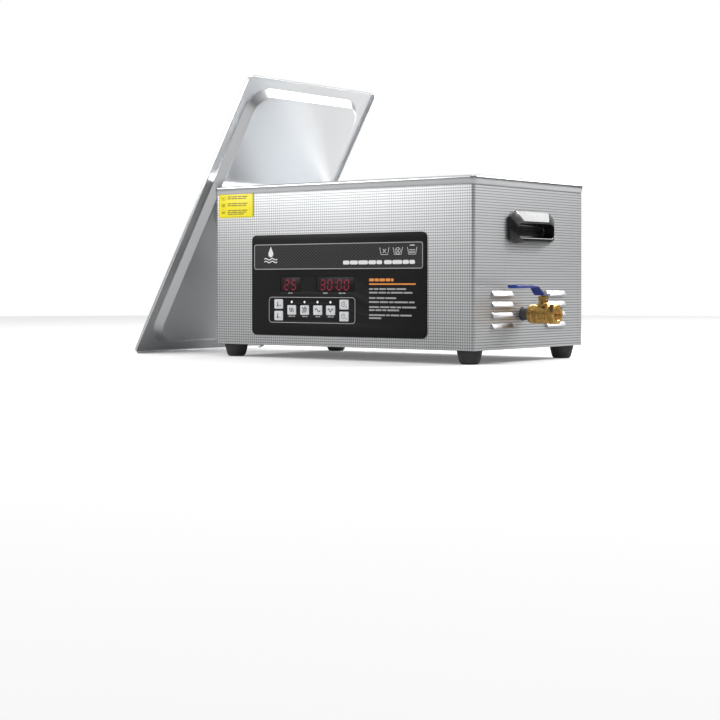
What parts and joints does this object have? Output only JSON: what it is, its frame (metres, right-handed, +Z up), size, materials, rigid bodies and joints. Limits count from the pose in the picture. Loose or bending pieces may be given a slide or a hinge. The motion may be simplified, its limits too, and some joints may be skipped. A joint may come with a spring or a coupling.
{
  "type": "ultrasonic cleaner",
  "caption": "Bench ultrasonic cleaner: a steel tank in a linen-embossed case with a control panel, carrying handles, a drain ball valve and a loose lid leaning on its side.",
  "frame": {"origin": "middle of the resting object's footprint, on the surface it stands on; the leaning lid and the drain valve count", "axes": "+X along the case towards the drain valve, +Y to the back, +Z up; the control panel faces -Y"},
  "size_m": [0.7682, 0.342, 0.4674],
  "materials": {
    "polished_steel": "mirror-polished stainless steel",
    "linen_steel": "stainless sheet embossed with a fine square linen grid",
    "zinc_steel": "plain zinc-plated or satin steel",
    "rubber": "matte black moulded rubber",
    "black_plastic": "glossy black moulded plastic",
    "rocker_plastic": "glossy black rocker",
    "panel_black": "black printed overlay, satin gloss",
    "board_green": "green solder mask",
    "lens_white": "clear white light guide",
    "label_yellow": "yellow vinyl label, slightly glossy",
    "display_red": "dark red display filter",
    "key_grey": "light grey satin keys",
    "brass": "machined and tumbled brass",
    "seat_white": "white fluoropolymer seat",
    "ball_chrome": "chromed ball",
    "lever_blue": "blue painted steel",
    "sleeve_blue": "blue dipped vinyl",
    "transducer_alloy": "turned aluminium",
    "heater_silicone": "brick-red silicone"
  },
  "bodies": {
    "machine": {"tank": "polished_steel", "case_wrap": "linen_steel", "rear_panel": "linen_steel", "base_plate": "zinc_steel", "foot_front_left": "rubber", "foot_front_right": "rubber", "foot_rear_left": "rubber", "foot_rear_right": "rubber", "handle_left": "black_plastic", "handle_right": "black_plastic", "control_panel": "panel_black", "control_board": "board_green", "indicator_strip": "lens_white", "label_plate": "label_yellow", "display_temp": "display_red", "display_time": "display_red", "drain_pipe": "zinc_steel", "drain_nut": "brass", "valve_body": "brass", "valve_end_cap": "brass", "valve_seat_inner": "seat_white", "valve_seat_outer": "seat_white", "packing_nut": "brass", "transducer_1": "transducer_alloy", "transducer_2": "transducer_alloy", "transducer_3": "transducer_alloy", "transducer_4": "transducer_alloy", "transducer_5": "transducer_alloy", "transducer_6": "transducer_alloy", "transducer_7": "transducer_alloy", "transducer_8": "transducer_alloy", "generator_board": "board_green", "heater_front": "heater_silicone", "heater_rear": "heater_silicone", "temperature_sensor": "brass", "fan_frame": "black_plastic", "fan_guard": "zinc_steel", "power_inlet": "black_plastic", "switch_housing": "black_plastic"},
    "lid": {"lid": "polished_steel", "lid_handle": "black_plastic", "lid_screw_1": "zinc_steel", "lid_screw_2": "zinc_steel"},
    "valve_rotor": {"valve_ball": "ball_chrome", "valve_stem": "brass", "valve_lever": "lever_blue", "lever_sleeve": "sleeve_blue", "lever_nut": "zinc_steel"},
    "key_temp_up_cap": {"key_temp_up": "key_grey"},
    "key_temp_down_cap": {"key_temp_down": "key_grey"},
    "key_heat_cap": {"key_heat": "key_grey"},
    "key_degas_cap": {"key_degas": "key_grey"},
    "key_wave_cap": {"key_wave": "key_grey"},
    "key_start_cap": {"key_start": "key_grey"},
    "key_time_up_cap": {"key_time_up": "key_grey"},
    "key_time_down_cap": {"key_time_down": "key_grey"},
    "rocker": {"switch_rocker": "rocker_plastic"},
    "fan": {"fan_rotor": "black_plastic"}
  },
  "joints": [
    {"name": "lid_lift", "type": "slide", "parent": "machine", "child": "lid", "axis": [0, 0, 1], "range_m": [0, 0.35]},
    {"name": "drain_valve", "type": "hinge", "parent": "machine", "child": "valve_rotor", "pos_m": [0.35806, -0.0167, 0.075], "axis": [0, 0, 1], "range_deg": [0, 90]},
    {"name": "press_temp_up", "type": "slide", "parent": "machine", "child": "key_temp_up_cap", "axis": [0, 1, 0], "range_m": [0, 0.0004], "stiffness_N_per_m": 2500},
    {"name": "press_temp_down", "type": "slide", "parent": "machine", "child": "key_temp_down_cap", "axis": [0, 1, 0], "range_m": [0, 0.0004], "stiffness_N_per_m": 2500},
    {"name": "press_heat", "type": "slide", "parent": "machine", "child": "key_heat_cap", "axis": [0, 1, 0], "range_m": [0, 0.0004], "stiffness_N_per_m": 2500},
    {"name": "press_degas", "type": "slide", "parent": "machine", "child": "key_degas_cap", "axis": [0, 1, 0], "range_m": [0, 0.0004], "stiffness_N_per_m": 2500},
    {"name": "press_wave", "type": "slide", "parent": "machine", "child": "key_wave_cap", "axis": [0, 1, 0], "range_m": [0, 0.0004], "stiffness_N_per_m": 2500},
    {"name": "press_start", "type": "slide", "parent": "machine", "child": "key_start_cap", "axis": [0, 1, 0], "range_m": [0, 0.0004], "stiffness_N_per_m": 2500},
    {"name": "press_time_up", "type": "slide", "parent": "machine", "child": "key_time_up_cap", "axis": [0, 1, 0], "range_m": [0, 0.0004], "stiffness_N_per_m": 2500},
    {"name": "press_time_down", "type": "slide", "parent": "machine", "child": "key_time_down_cap", "axis": [0, 1, 0], "range_m": [0, 0.0004], "stiffness_N_per_m": 2500},
    {"name": "power_switch", "type": "hinge", "parent": "machine", "child": "rocker", "pos_m": [0.16106, 0.1653, 0.081], "axis": [1, 0, 0], "range_deg": [-14, 0]},
    {"name": "fan_spin", "type": "hinge", "parent": "machine", "child": "fan", "pos_m": [-0.07394, 0.1513, 0.083], "axis": [0, 1, 0], "continuous": true}
  ]
}
